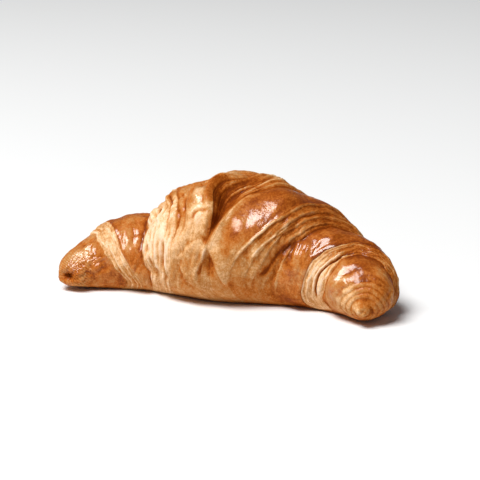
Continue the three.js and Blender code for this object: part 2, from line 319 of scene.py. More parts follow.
# An angle reach with which a spot goes all round the roll
ALL_ROUND = 400
SPOTS = (
    Spot("crown shoulder", -0.29, 88, 0.12, 24, 0.06, 0, -1.3),
    Spot("low top of the inner strip", -0.405, 86, 0.035, 22, 0.08, 0, -3),
    Spot("hollow behind the shoulder", -0.19, 92, 0.07, 34, 0.05, 0, -3.2),
    Spot("crown top", 0.01, 100, 0.07, 30, 0, 0, -2.2),
    Spot("layers on top", 0.21, 95, 0.07, 30, -0.05, 0, 1.8),
    Spot("bulge over the highlight", 0.29, 70, 0.08, 18, 0, 0, 3.1),
    Spot("low start of the middle turn", 0.055, 20, 0.06, 12, 0, -0.6, -1.3),
    Spot("flat part of the middle turn", 0.17, 34, 0.1, 19, 0, 0, -1.1),
    Spot("flat part of the outer turn", 0.583, 45, 0.05, 18, 0, 0, -0.8),
    Spot("flat part of the cone", 0.905, 48, 0.035, 24, -0.04, 0, -1.4),
    Spot("low bulge of the cone", 0.885, 15, 0.04, 15, 0, 0, 1.7),
    Spot("flat part of the left tip", -0.86, 42, 0.06, 20, 0, 0, -1),
    # The left top's lower toast is a painted highlight on the left tip
    Spot("left top", -0.87, 60, 0.05, 25, -0.1, 0),
    # The hollow rim and the hollow are partly painted shade: the dark inside the swirl at the left pole
    Spot("hollow rim", -0.995, 30, 0.025, 90, 0.2, -0.3),
    Spot("hollow", -1, 90, 0.006, ALL_ROUND, 0.4, -0.6),
    Spot("left end", -0.97, 40, 0.05, 60, 0.1, -0.1),
    Spot("dull start of the outer turn", 0.54, 36, 0.03, 14, 0.08, -0.4),
    Spot("thumb", 1, 90, 0.004, ALL_ROUND, -0.1, -0.6),
    # The crown highlight's lower toast is a painted highlight; its glaze is real gloss
    Spot("crown highlight", -0.12, 54, 0.032, 12, -0.12, 0.9),
    Spot("crown brow", -0.15, 73, 0.06, 15, 0, 0, 1.6),
    Spot("dull lip of the crown", -0.075, 68, 0.03, 10, 0, -0.6),
    Spot("golden top of the strip", -0.355, 72, 0.04, 15, 0.12, 0),
    Spot("golden shoulder", -0.178, 47, 0.04, 20, 0.34, 0),
    # The facet's toast is partly painted shade in the hollow between the facet ridges
    Spot("facet", -0.017, -4, 0.03, 8, 0.4, 0, -1.2),
    Spot("crown low", -0.12, 0, 0.06, 9, 0.1, 0),
    Spot("pale heel", -0.2, 12, 0.05, 13, -0.16, 0),
    Spot("orange patch", 0.12, 20, 0.07, 10, 0.16, 0.4),
    Spot("lower right turn", 0.44, 8, 0.05, 16, 0.2, 0.3),
    Spot("cone top", 0.9, 80, 0.05, 30, 0.12, 0.1),
    Spot("slimmer right end", 0.85, 165, 0.12, 45, 0.06, 0, -2),
    Spot("cone front", 0.9, 5, 0.04, 20, -0.05, 0.2),
    Spot("tip front", 0.985, 20, 0.035, 70, -0.14, 0),
    Spot("dull start of the middle turn", 0.06, 32, 0.03, 10, 0, -0.6),
    Spot("dull band over the highlight", 0.235, 63, 0.06, 7, 0, -0.6),
    Spot("browner upper middle turn", 0.25, 66, 0.05, 9, 0.15, 0),
    Spot("golden start of the valley", -0.015, 14, 0.025, 9, 0.14, 0),
    # Painted shade where the foot meets the floor, on the right
    Spot("browner foot on the right", 0.44, -36, 0.12, 10, 0.25, 0),
)


def smooth_step(low, high, value):
    """0 below low, 1 above high, and the cubic 3s^2 - 2s^3 of the share s between them."""
    share = np.clip((value - low) / (high - low), 0, 1)
    return share * share * (3 - 2 * share)


def mix(start, end, share):
    """The straight blend from start to end."""
    return start + (end - start) * share


def smooth_curve(places, values):
    """A cubic between each two values, whose slopes come from the neighbours on both sides."""
    places = np.array(places, float)
    values = np.array(values, float)
    before = np.maximum(np.arange(len(places)) - 1, 0)
    after = np.minimum(np.arange(len(places)) + 1, len(places) - 1)
    slopes = (values[after] - values[before]) / (places[after] - places[before])

    def curve(place):
        i = np.clip(np.searchsorted(places, place, side="right") - 1, 0, len(places) - 2)
        span = places[i + 1] - places[i]
        t = np.clip((place - places[i]) / span, 0, 1)
        start = values[i] * (1 + 2 * t) * (1 - t) ** 2 + slopes[i] * span * t * (1 - t) ** 2
        end = values[i + 1] * t * t * (3 - 2 * t) - slopes[i + 1] * span * t * t * (1 - t)
        return start + end

    return curve


def turn_curve(angles, values):
    """A smooth curve round the roll, which meets itself after a full turn."""
    angles = np.array(angles, float)
    around = np.concatenate([angles - FULL_TURN, angles, angles + FULL_TURN])
    return smooth_curve(around, np.tile(values, 3))


LATTICE_FACTORS = (374761393, 668265263, 1440662683)
SEED_FACTOR = 974634777
MIXING_FACTOR = 1274126177
LATTICE_MASK = 0xFFFFFF


def lattice_value(corner, seed):
    """A fixed pseudo-random value from 0 to 1 for each whole-number point of a lattice."""
    mixed = sum(number * factor for number, factor in zip(corner, LATTICE_FACTORS)) + seed * SEED_FACTOR
    mixed = (mixed ^ (mixed >> 13)) * MIXING_FACTOR
    return ((mixed ^ (mixed >> 16)) & LATTICE_MASK) / LATTICE_MASK


def noise(points, size, seed):
    """Smooth noise from -1 to 1 at points, (..., 3): lattice values a size apart, blended."""
    scaled = np.asarray(points, float) / size
    whole = np.floor(scaled).astype(np.int64)
    share = scaled - whole
    share = share ** 3 * (share * (share * 6 - 15) + 10)
    total = 0
    for corner in np.ndindex(2, 2, 2):
        weight = np.prod(np.where(corner, share, 1 - share), axis=-1)
        total = total + weight * lattice_value([whole[..., k] + corner[k] for k in range(3)], seed)
    return total * 2 - 1


def fractal(points, size, octaves, seed):
    """Noise plus finer noise: each octave has half the size and half the height."""
    return sum(noise(points, size / 2 ** k, seed + k) / 2 ** k for k in range(octaves))


def two_grains(points, sizes, finer, fine_share, seed):
    """Noise with its own size along each coordinate, plus a share of the same noise made finer."""
    return noise(points / sizes, 1, seed) + fine_share * noise(points / sizes * finer, 1, seed + 1)


def end_value(place, name):
    """A value of whichever end of the roll each place belongs to."""
    return np.where(place < 0, getattr(LEFT_END, name), getattr(RIGHT_END, name))


def heading(place):
    """The axis turns to the front as a power of the place, from straight at the middle."""
    turned = end_value(place, "turn") * np.abs(place) ** end_value(place, "bend_power")
    return -np.sign(place) * turned


def make_axis(roll_length):
    """The axis as places, x and y: unit steps along the heading, with both ends on one X line."""
    places = np.linspace(-1, 1, AXIS_STEPS + 1)
    middles = (places[1:] + places[:-1]) / 2
    step = roll_length / AXIS_STEPS
    xs = np.concatenate([[0], np.cumsum(np.cos(heading(middles)) * step)])
    ys = np.concatenate([[0], np.cumsum(np.sin(heading(middles)) * step)])
    return places, xs, ys - xs * ys[-1] / xs[-1]


half_width_at = smooth_curve(SECTION_PLACES, SECTION_HALF_WIDTHS)
height_at = smooth_curve(SECTION_PLACES, SECTION_HEIGHTS)


def cap_share(place):
    """How much of the full section is left at a place: 1 along the roll, 0 at its two poles."""
    closed = np.abs(place) ** end_value(place, "cap_power")
    return np.maximum(1 - closed, 0) ** CAP_ROUNDNESS


def section_at(place):
    """The section's form at a place: the middle's, blended to the ends' rounder one."""
    share = smooth_step(*ENDS_ROUND_BETWEEN, np.abs(place)) * end_value(place, "rounding")
    return Section(*(mix(a, b, share) for a, b in zip(MIDDLE_SECTION, END_SECTION)))


def base_points(axis, place, angle):
    """The crust without relief: a squared ellipse across the axis, cut flat at the table."""
    place, angle = np.broadcast_arrays(np.asarray(place, float), np.asarray(angle, float))
    cap = cap_share(place)
    section = section_at(place)
    half_width = np.maximum(half_width_at(place) * cap, TINY)
    height = np.maximum(height_at(place) * cap, TINY)
    level = height * section.widest_level
    across = np.cos(np.radians(angle))
    up = np.sin(np.radians(angle))
    squareness = np.where(up >= 0, UPPER_SQUARENESS, section.lower_squareness)
    reach = np.where(up >= 0, height - level, level * section.underside_drop)
    total = np.abs(across / half_width) ** squareness + np.abs(up / reach) ** squareness
    radius = total ** (-1 / squareness)
    places, xs, ys = axis
    turn = heading(place)
    sideways = -radius * across
    x = np.interp(place, places, xs) - np.sin(turn) * sideways
    y = np.interp(place, places, ys) + np.cos(turn) * sideways
    z = level + end_value(place, "pole_height") * (1 - cap) + radius * up
    return np.stack([x, y, np.maximum(z, 0)], axis=-1)


def unit(vectors):
    """Vectors divided by their length."""
    return vectors / np.maximum(np.linalg.norm(vectors, axis=-1, keepdims=True), TINY)


def outward(axis, place, angle):
    """The crust's outward direction: along the roll crossed with round the roll."""
    step = SLOPE_STEP * (1 - np.abs(place) * SLOPE_STEP_LOSS)
    along = base_points(axis, place + step, angle) - base_points(axis, place - step, angle)
    after = base_points(axis, place, angle + SLOPE_ANGLE)
    before = base_points(axis, place, angle - SLOPE_ANGLE)
    return unit(np.cross(along, after - before))


def column_angles():
    """The angles of the mesh columns, from low on the front right round to it again."""
    shown = np.linspace(SHOWN_FROM, SHOWN_TO, SHOWN_COLUMNS, endpoint=False)
    under = np.linspace(SHOWN_TO, SHOWN_FROM + FULL_TURN, UNDERSIDE_COLUMNS, endpoint=False)
    return np.concatenate([shown, under])


# The relief: ridges, folds and wrinkles of the baked dough

EDGE_WANDER = 0.008
EDGE_WANDER_SIZE = 12
# A layer's edge wanders by these shares of its strip's breadth, and its height changes. Sizes in degrees
STEP_WANDER = 0.05
STEP_WANDER_SIZE = 30
FINE_WANDER = STEP_WANDER / 3
FINE_WANDER_SIZE = 7
LAYER_STRENGTH = 0.75
LAYER_UNEVENNESS = 1.1
LAYER_UNEVENNESS_SIZE = 24
LAYER_LIMITS = (0.1, 1.6)
STEP_WIDTH = 0.022
STEP_LIP = 0.05
STAIR_SHARE = 0.8
LIP_OVERHANG = 0.6
LIP_WIDTH = 0.07
RIM_PLACE = 0.1
RIM_WIDTH = 0.08
START_RIM = 0.3
RIM_FADE = (70, 100)
RIM_LOSS = 0.8
SIDE_TOAST = 0.16
SIDE_WIDTH = 0.16
SIDE_BALANCE = 0.35
SIDES_FROM = (0, 25)
# The painted shade of the crevice along a strip's foot
FOOT_PAINTED_SHADE = 0.3
FOOT_SHADE_WIDTH = 0.05

# The texture of the dough, in millimetres. Three sizes are those round, along and out of the roll
MM_PER_DEGREE = 0.42
GRAIN_SIZE = (34, 1.1, 1)
GRAIN_FINER = 2.1
GRAIN_FINE_SHARE = 0.6
GRAIN_HEIGHT = 0.16
SKIN_GRAIN = 0.2
WRINKLE_SIZE = (10, 2.3, 1)
WRINKLE_FINER = 1.9
WRINKLE_FINE_SHARE = 0.5
WRINKLE_HEIGHT = 0.32
WRINKLE_BEND = 3
WRINKLE_BEND_SIZE = 10
LUMP_SIZE = 14
LUMP_HEIGHT = 0.8
LUMP_BLUR = 6
BLISTER_SIZE = 3.6
BLISTER_HEIGHT = 0.17
GLAZE_SMOOTHS = 0.55
CRUMPLE_SIZE = 3.2
CRUMPLE_STRETCH = (2.2, 1, 1)
BACK_SMOOTHS = 0.7
BACK_FROM = (85, 125)
STRETCH_BLUR = 3

# The rings of rolled dough at the two tips
RIGHT_RING_SPACING = 2.7
RIGHT_RING_CLARITY = 0.6
RIGHT_RING_HEIGHT = 0.7
RIGHT_RING_WANDER = 0.4
RIGHT_RING_WANDER_SIZE = 9
RIGHT_RINGS_FROM = (0.87, 0.955)
LEFT_RING_SPACING = 1.1
LEFT_RING_LINE = (0.48, 0.42, 0.77)
LEFT_RING_HEIGHT = 0.13
LEFT_RING_WANDER = 0.5
LEFT_RING_WANDER_SIZE = 8
LEFT_RINGS_FROM = (0.84, 0.95)
RING_SHARPNESS = 0.6
RING_MEAN = 0.5

# A hollow's depth is measured against the mean of this many rows and columns on each side
CAVITY_ROWS = 5
CAVITY_COLUMNS = 4

# The seeds of the noise. A layer adds its own number to the seed of its stretch
STRETCH_SEED_STEP = 11
FINE_WANDER_SEED = 20
LAYER_SEED = 40
LUMP_SEED = 31
BLISTER_SEED = 41
CRUMPLE_SEED = 51
RIGHT_RING_SEED = 61
LEFT_RING_SEED = 62
BEND_SEEDS = (71, 72)
GRAIN_SEED = 91
WRINKLE_SEED = 93


def round_trip(angles, seed, size):
    """Noise round the roll, in degrees, which meets itself after a full turn: noise on a circle."""
    radius = FULL_TURN / (2 * math.pi)
    turn = np.radians(angles)
    circle = np.stack([radius * np.cos(turn), radius * np.sin(turn), 0 * turn], axis=-1)
    return noise(circle, size, seed)


def edge_relief(stretch, angles):
    """The relief at a stretch's end. Some edges fade out low on the front."""
    if stretch.to in EDGE_FADES:
        return stretch.relief * smooth_step(*EDGE_FADES[stretch.to], angles)
    return stretch.relief * np.ones_like(angles)


def terraces(share, angles, steps, seed):
    """Stairs from 0 at the lip to 1 at the foot, and the raised edge of each layer.

    The stairs are one smooth step for each layer. A raised edge grows exponentially up to the
    layer's end and drops as a bell curve behind it. The ends wander along the strip, and each one
    rises here and lies flat there.
    """
    stairs = share * (1 - STAIR_SHARE)
    lips = np.zeros(np.broadcast(share, angles).shape)
    for layer_seed, step in enumerate(steps, seed):
        wander = STEP_WANDER * round_trip(angles, layer_seed, STEP_WANDER_SIZE)
        wander = wander + FINE_WANDER * round_trip(angles, layer_seed + FINE_WANDER_SEED, FINE_WANDER_SIZE)
        uneven = LAYER_UNEVENNESS * round_trip(angles, layer_seed + LAYER_SEED, LAYER_UNEVENNESS_SIZE)
        strength = np.clip(LAYER_STRENGTH + uneven, *LAYER_LIMITS)
        before = step + wander - share
        stairs = stairs + STAIR_SHARE / len(steps) * smooth_step(-STEP_WIDTH, STEP_WIDTH, -before)
        rise = np.exp(-before / STEP_LIP)
        drop = np.exp(-(before / STEP_WIDTH) ** 2)
        lips = lips + strength * np.where(before > 0, rise, drop)
    return stairs, lips


def end_relief(stretch, start, end, share):
    """A tip: level near its pole, then a smooth step to the height of its one dough edge."""
    from_pole = share if stretch.to else 1 - share
    edge = end if stretch.to else start
    return mix(0, edge, smooth_step(END_RELIEF_FROM, 1, from_pole))


def skin_relief(stretch, start, end, share, angles):
    """A smooth turn of dough: a power of the share of its breadth, from one edge's height to the
    other's, with half a sine wave as its swell and a bell curve as the rim at each lip.
    """
    rising = np.where(end >= start, 1 - (1 - share) ** stretch.ease, share ** stretch.ease)
    swell = stretch.fullness * np.sin(np.pi * share)
    rim = 0
    if stretch.to.endswith("lip"):
        rim = stretch.rim * np.exp(-((1 - share - RIM_PLACE) / RIM_WIDTH) ** 2) * end / stretch.relief
    rim = rim * (1 - RIM_LOSS * smooth_step(*RIM_FADE, angles))
    if stretch.name in STARTS_AT_LIP:
        rim = rim + START_RIM * np.exp(-((share - RIM_PLACE) / RIM_WIDTH) ** 2)
    return mix(start, end, rising) + swell + rim


def valley_depth(share, angles):
    """A squared sine across the valley, deepest at one angle on the front and shallow behind."""
    front = np.exp(-((angles - VALLEY_CENTRE_ANGLE) / VALLEY_REACH) ** 2)
    back = BACK_VALLEY_SHARE * smooth_step(*BACK_VALLEY_FROM, angles)
    depth = VALLEY_DEPTH * np.maximum(front * smooth_step(*VALLEY_FROM, angles), back)
    return depth * np.sin(np.pi * share ** VALLEY_LEAN) ** 2


def low_front(stretch, angles):
    """How much of a strip's layers shows: less low on the front, all of it higher up."""
    return mix(stretch.low_layers, 1, smooth_step(*STRIP_LAYERS_FROM, angles))


def stretch_relief(stretch, start, share, angles, seed):
    """The relief of one stretch, and how much of a layer's edge each point is."""
    end = edge_relief(stretch, angles)
    if stretch.kind == "end":
        return end_relief(stretch, start, end, share), np.zeros_like(share * angles)
    if stretch.kind == "skin":
        return skin_relief(stretch, start, end, share, angles), np.zeros_like(share * angles)
    lip_first = np.mean(start) > np.mean(end)
    from_lip = share if lip_first else 1 - share
    stairs, lips = terraces(from_lip, angles, stretch.steps, seed)
    lip, foot = (start, end) if lip_first else (end, start)
    lips = lips * stretch.layers * low_front(stretch, angles)
    if stretch.kind == "valley":
        lips = lips * smooth_step(*VALLEY_LAYERS_FROM, angles)
    relief = mix(lip, foot, stairs) + lips + stretch.fullness * np.sin(np.pi * share)
    if stretch.kind == "valley":
        relief = relief - valley_depth(share, angles)
    return relief, lips


class Crust(NamedTuple):
    """The crust's grid: rows along the roll, columns round it."""

    place: np.ndarray
    angle: np.ndarray
    relief: np.ndarray
    shift: np.ndarray
    layer: np.ndarray
    toast: np.ndarray
    glaze: np.ndarray
    layered: np.ndarray
    lumps: np.ndarray
    crumple: np.ndarray
    wrinkles: np.ndarray


def toast_and_foot_shade(stretch, share, angles):
    """How baked a stretch is: a skin is browner at its sides, and a strip has painted shade along its
    foot.
    """
    toast = np.interp(angles, BAKE_ANGLES, stretch.toast)
    if stretch.kind == "skin":
        sides = np.exp(-((0.5 - np.abs(share - 0.5)) / SIDE_WIDTH) ** 2)
        return toast + SIDE_TOAST * (sides - SIDE_BALANCE) * smooth_step(*SIDES_FROM, angles)
    if stretch.kind == "strip":
        to_foot = share if stretch.to.endswith("lip") else 1 - share
        return toast + FOOT_PAINTED_SHADE * np.exp(-(to_foot / FOOT_SHADE_WIDTH) ** 2) * low_front(stretch, angles)
    return toast + 0 * share


def stretch_end(stretch, number, angles):
    """Where a stretch ends along the roll: its dough edge, which wanders, or the right pole."""
    if not stretch.to:
        return np.full_like(angles, 1.0)
    wander = EDGE_WANDER * round_trip(angles, number, EDGE_WANDER_SIZE)
    return turn_curve(EDGE_ANGLES, EDGES[stretch.to])(angles) + wander


def stretch_places(stretch, start, end, share):
    """The place of each row: even steps, or at a tip steps that grow as a power from its pole."""
    if stretch.kind != "end":
        return mix(start, end, share)
    if stretch.to:
        return mix(start, end, share ** END_ROW_POWER)
    return mix(end, start, (1 - share) ** END_ROW_POWER)


def lip_shift(stretch, share, angles):
    """How far the dough leans over its lips, along the roll, in millimetres."""
    shift = 0 * share * angles
    if stretch.to.endswith("lip") and stretch.rim:
        overhang = LIP_OVERHANG * edge_relief(stretch, angles) / stretch.relief
        shift = shift + overhang * np.exp(-((1 - share) / LIP_WIDTH) ** 2)
    if stretch.name in STARTS_AT_LIP:
        shift = shift - LIP_OVERHANG * np.exp(-(share / LIP_WIDTH) ** 2)
    return shift


def lay_out_crust():
    """The grid from edge to edge, with the relief, bake and glaze of each stretch."""
    angles = column_angles()[None, :]
    grids = []
    start = np.full_like(angles, -1.0)
    start_relief = np.zeros_like(angles)
    for number, stretch in enumerate(STRETCHES):
        end = stretch_end(stretch, number, angles)
        # The last stretch ends in the pole, which is one point and no row
        end_row = 1 if stretch.to else 0
        share = np.arange(1, stretch.rows + end_row)[:, None] / stretch.rows
        relief, layer = stretch_relief(stretch, start_relief, share, angles, number * STRETCH_SEED_STEP)
        has_layers = stretch.kind in ("strip", "valley")
        blocks = np.broadcast_arrays(
            stretch_places(stretch, start, end, share),
            angles,
            relief,
            lip_shift(stretch, share, angles),
            layer,
            toast_and_foot_shade(stretch, share, angles),
            np.interp(angles, BAKE_ANGLES, stretch.glaze),
            low_front(stretch, angles) if has_layers else 0 * angles,
            stretch.lumps,
            stretch.crumple,
            stretch.wrinkles,
        )
        grids.append(blocks)
        start = end
        start_relief = edge_relief(stretch, angles)
    return Crust(*(np.concatenate(parts, axis=0) for parts in zip(*grids)))


def blurred(grid, rows, columns):
    """The grid averaged over a box of rows and columns. Columns go round."""
    padded = np.pad(grid, ((rows, rows), (0, 0)), mode="edge")
    padded = np.pad(padded, ((0, 0), (columns, columns)), mode="wrap")
    summed = np.cumsum(np.pad(padded, ((1, 0), (0, 0))), axis=0)
    grid = (summed[2 * rows + 1:] - summed[:-2 * rows - 1]) / (2 * rows + 1)
    summed = np.cumsum(np.pad(grid, ((0, 0), (1, 0))), axis=1)
    return (summed[:, 2 * columns + 1:] - summed[:, :-2 * columns - 1]) / (2 * columns + 1)


def stroke_effect(axis, points, direction, stroke):
    """How strongly a stroke marks each point: a bell curve of the distance to its line.

    The sloping side of a fold falls off exponentially instead, and each stroke tapers to its ends.
    """
    steps = np.linspace(0, 1, len(stroke.points))
    samples = np.linspace(0, 1, STROKE_SAMPLES)
    marks = np.array(stroke.points, float)
    places = smooth_curve(steps, marks[:, 0])(samples)
    angles = smooth_curve(steps, marks[:, 1])(samples)
    line = base_points(axis, places, angles)
    nearest = np.full(points.shape[:-1], np.inf)
    where = np.zeros(points.shape[:-1])
    side = np.zeros(points.shape[:-1])
    for i in range(STROKE_SAMPLES - 1):
        span = line[i + 1] - line[i]
        t = np.clip(((points - line[i]) @ span) / (span @ span), 0, 1)
        apart = points - line[i] - t[..., None] * span
        distance = np.linalg.norm(apart, axis=-1)
        closer = distance < nearest
        nearest = np.where(closer, distance, nearest)
        where = np.where(closer, (i + t) / (STROKE_SAMPLES - 1), where)
        turned = np.sum(np.cross(np.broadcast_to(span, apart.shape), apart) * direction, axis=-1)
        side = np.where(closer, turned, side)
    taper = smooth_step(0, STROKE_TAPER, where) * smooth_step(0, STROKE_TAPER, 1 - where)
    if not stroke.one_sided:
        return np.exp(-(nearest / stroke.width) ** 2) * taper
    steep = np.exp(-(nearest / (stroke.width * STEEP_SHARE)) ** 2)
    slope = np.exp(-nearest / stroke.width)
    return np.where(side * stroke.one_sided > 0, slope, steep) * taper


def tip_distance(place):
    """The distance from the nearer pole, measured across the roll."""
    return half_width_at(place) * cap_share(place)


def tip_relief(place):
    """The thumb and the swirl: a squared bell curve of the distance from the pole, up or down."""
    height = np.where(place < 0, -SWIRL_DEPTH, THUMB_HEIGHT)
    radius = np.where(place < 0, SWIRL_RADIUS, THUMB_RADIUS)
    return height * np.exp(-(tip_distance(place) / radius) ** TIP_SQUARENESS)


def tip_rings(points, poles, place, angle):
    """Rolled layers round each tip: how far each point is into a ring, and how clear the rings are.

    At the right tip they are rings round the pole. At the left tip they are cuts across a tilted
    line that starts at the pole.
    """
    right = np.linalg.norm(points - poles[1], axis=-1) / RIGHT_RING_SPACING - angle / FULL_TURN
    right = right + RIGHT_RING_WANDER * noise(points, RIGHT_RING_WANDER_SIZE, RIGHT_RING_SEED)
    left = (points - poles[0]) @ np.array(LEFT_RING_LINE) / LEFT_RING_SPACING
    left = left + LEFT_RING_WANDER * noise(points, LEFT_RING_WANDER_SIZE, LEFT_RING_SEED)
    near_right = RIGHT_RING_CLARITY * smooth_step(*RIGHT_RINGS_FROM, place)
    near_left = smooth_step(*LEFT_RINGS_FROM, -place)
    phase = np.where(place > 0, right, left)
    return phase, np.where(place > 0, near_right, near_left)


def ring_relief(place, phase, ringed):
    """The rings as a sine's size, raised to a power so that the grooves are narrow."""
    height = np.where(place > 0, RIGHT_RING_HEIGHT, LEFT_RING_HEIGHT)
    rings = np.abs(np.sin(np.pi * phase)) ** RING_SHARPNESS
    return height * (rings - RING_MEAN) * ringed


def mark_crust(axis, base, direction, crust):
    """The relief, bake and glaze with each stroke and spot added: bell curves of the distance. Part of the
    toast that some of them add is painted shade, and part painted light.
    """
    relief = crust.relief.copy()
    toast = crust.toast.copy()
    glaze = crust.glaze.copy()
    for stroke in STROKES:
        effect = stroke_effect(axis, base, direction, stroke)
        relief += stroke.height * effect
        toast += stroke.toast * effect
    for spot in SPOTS:
        away = (crust.place - spot.place) / spot.place_reach
        round_it = (crust.angle - spot.angle) / spot.angle_reach
        near = np.exp(-away ** 2 - round_it ** 2)
        relief += spot.height * near
        toast += spot.toast * near
        glaze += spot.glaze * near
    return relief, toast, np.clip(glaze, 0, 1)


def dough_texture(crust, base, along_roll, glaze, layered):
    """The height of the grain, lumps, wrinkles, blisters and crumples: noises of their own sizes."""
    around = crust.angle * MM_PER_DEGREE
    flat = np.stack([around, along_roll, 0 * around], axis=-1)
    bends = [noise(base, WRINKLE_BEND_SIZE, seed) for seed in BEND_SEEDS]
    bent = flat + WRINKLE_BEND * np.stack([*bends, 0 * around], axis=-1)
    grain = two_grains(flat, GRAIN_SIZE, GRAIN_FINER, GRAIN_FINE_SHARE, GRAIN_SEED)
    wrinkles = two_grains(bent, WRINKLE_SIZE, WRINKLE_FINER, WRINKLE_FINE_SHARE, WRINKLE_SEED)
    lumps = fractal(base, LUMP_SIZE, octaves=2, seed=LUMP_SEED)
    blisters = fractal(base, BLISTER_SIZE, octaves=2, seed=BLISTER_SEED)
    crumples = fractal(bent / CRUMPLE_STRETCH, CRUMPLE_SIZE, octaves=3, seed=CRUMPLE_SEED)
    height = GRAIN_HEIGHT * grain * mix(SKIN_GRAIN, 1, layered)
    height += LUMP_HEIGHT * lumps * blurred(crust.lumps, LUMP_BLUR, 0)
    height += WRINKLE_HEIGHT * wrinkles * blurred(crust.wrinkles, STRETCH_BLUR, 0)
    height += BLISTER_HEIGHT * blisters * (1 - GLAZE_SMOOTHS * glaze)
    smooth_back = 1 - BACK_SMOOTHS * smooth_step(*BACK_FROM, crust.angle)
    return height + crumples * blurred(crust.crumple, STRETCH_BLUR, 0) * smooth_back


def make_crust_grid(settings):
    """All points of the crust and its finish values, with the two poles apart.

    Each point is moved outwards by its relief, and along the roll where the dough leans over a lip.
    """
    axis = make_axis(settings.roll_length / MM)
    crust = lay_out_crust()
    base = base_points(axis, crust.place, crust.angle)
    direction = outward(axis, crust.place, crust.angle)
    poles = np.stack([base_points(axis, place, 0.0) for place in (-1.0, 1.0)])

    relief, toast, glaze = mark_crust(axis, base, direction, crust)
    layered = blurred(crust.layered, 1, 1)
    along_roll = crust.place * settings.roll_length / MM / 2
    relief += dough_texture(crust, base, along_roll, glaze, layered)
    phase, ringed = tip_rings(base, poles, crust.place, crust.angle)
    relief += ring_relief(crust.place, phase, ringed)
    relief *= settings.relief_scale

    fade = smooth_step(*FLAT_FADE, base[..., 2] / height_at(crust.place))
    full = fade * relief + tip_relief(crust.place)
    turn = heading(crust.place)
    along = np.stack([np.cos(turn), np.sin(turn), 0 * turn], axis=-1)
    points = base + direction * full[..., None]
    points = points + along * (crust.shift * fade * settings.relief_scale)[..., None]
    points[..., 2] = np.maximum(points[..., 2], 0)
    for pole, place in zip(poles, (-1.0, 1.0)):
        turn = heading(np.array(place))
        pole += np.array([np.cos(turn), np.sin(turn), 0]) * tip_relief(np.array(place)) * place

    finish = {
        "toast": toast,
        "glaze": glaze,
        "layered": layered,
        "cavity": full - blurred(full, CAVITY_ROWS, CAVITY_COLUMNS),
        "lip": crust.layer,
        "ring_phase": phase,
        "ringed": ringed,
    }
    return points, poles, crust, finish


def crust_faces(rows, columns):
    """Quads of the grid, closed round the roll, and a fan of triangles at each pole."""
    here = np.arange(columns) * rows
    after = np.roll(here, -1)
    row = np.arange(rows - 1)
    quads = np.stack([
        here[:, None] + row,
        here[:, None] + row + 1,
        after[:, None] + row + 1,
        after[:, None] + row,
    ], axis=-1).reshape(-1, 4)
    left_pole = rows * columns
    left = np.stack([np.full(columns, left_pole), here, after], axis=-1)
    right = np.stack([np.full(columns, left_pole + 1), after + rows - 1, here + rows - 1], axis=-1)
    return quads, left, right


def set_values(mesh, name, values):
    """One float attribute on the mesh's points."""
    layer = mesh.attributes.new(name, "FLOAT", "POINT")
    layer.data.foreach_set("value", values.astype(np.float32))


def set_grain_map(mesh, rows, columns, around, along):
    """The UV map: how far round and how far along the roll each face corner is, in centimetres."""
    corner = np.empty(len(mesh.loops), np.int32)
    mesh.loops.foreach_get("vertex_index", corner)
    on_grid = corner < rows * columns
    column = np.where(on_grid, corner // rows, 0)
    row = np.where(on_grid, corner % rows, np.where(corner == rows * columns, 0, rows - 1))
    starts = np.empty(len(mesh.polygons), np.int32)
    mesh.polygons.foreach_get("loop_start", starts)
    face_of = np.searchsorted(starts, np.arange(len(corner)), side="right") - 1
    in_last_column = np.maximum.reduceat(column, starts) == columns - 1
    wraps = in_last_column & (np.minimum.reduceat(column, starts) == 0)
    column = np.where(wraps[face_of] & (column == 0), columns, column)
    layer = mesh.uv_layers.new(name="grain")
    coordinates = np.stack([around[column], along[row]], axis=-1).astype(np.float32)
    layer.data.foreach_set("uv", coordinates.ravel())


def make_crust_object(settings):
    """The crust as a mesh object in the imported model's frame, in metres."""
    points, poles, crust, finish = make_crust_grid(settings)
    rows, columns = crust.place.shape
    vertices = np.concatenate([points.transpose(1, 0, 2).reshape(-1, 3), poles]) * MM
    vertices[:, :2] += AXIS_START
    quads, left, right = crust_faces(rows, columns)
    mesh = bpy.data.meshes.new("crust")
    mesh.from_pydata(vertices.tolist(), [], quads.tolist() + left.tolist() + right.tolist())
    mesh.update()
    mesh.shade_smooth()

    for name, grid in finish.items():
        at_poles = [grid[0].mean(), grid[-1].mean()]
        set_values(mesh, name, np.concatenate([grid.T.ravel(), at_poles]))
    angles = np.append(column_angles(), SHOWN_FROM + FULL_TURN)
    along = np.cumsum(np.abs(np.diff(crust.place.mean(axis=1), prepend=-1))) * settings.roll_length / 2
    set_grain_map(mesh, rows, columns, angles * MM_PER_DEGREE * MM / CM, along / CM)
    obj = bpy.data.objects.new("crust", mesh)
    bpy.context.scene.collection.objects.link(obj)
    return obj


# The finish of the crust

